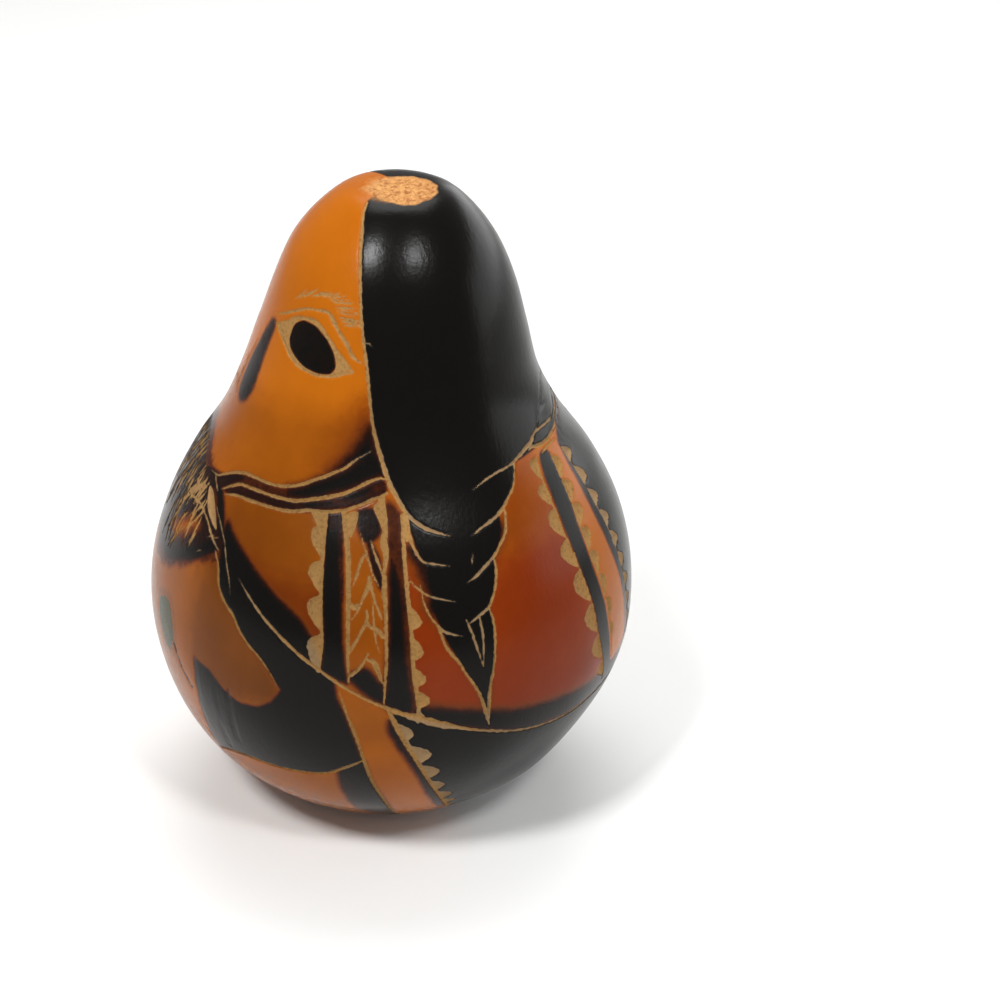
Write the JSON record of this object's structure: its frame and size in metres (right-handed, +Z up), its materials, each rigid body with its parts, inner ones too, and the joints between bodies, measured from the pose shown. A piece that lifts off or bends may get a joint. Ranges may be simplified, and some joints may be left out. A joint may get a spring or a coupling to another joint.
{
  "type": "carved gourd",
  "caption": "Dried pear-shaped gourd carved and burnt all round with a woman in braids and a bordered shawl; stands on a small flat spot.",
  "frame": {"origin": "middle of the flat rest spot under the gourd", "axes": "+Z up through the stem scar; the carved face looks along -Y, the figure's left side along +X"},
  "size_m": [0.0906, 0.0906, 0.1214],
  "materials": {
    "gourd_skin": "dried gourd rind, dyed orange and burnt black, carved through to tan flesh, glossy lacquer"
  },
  "bodies": {
    "root": {"gourd": "gourd_skin"}
  },
  "joints": []
}
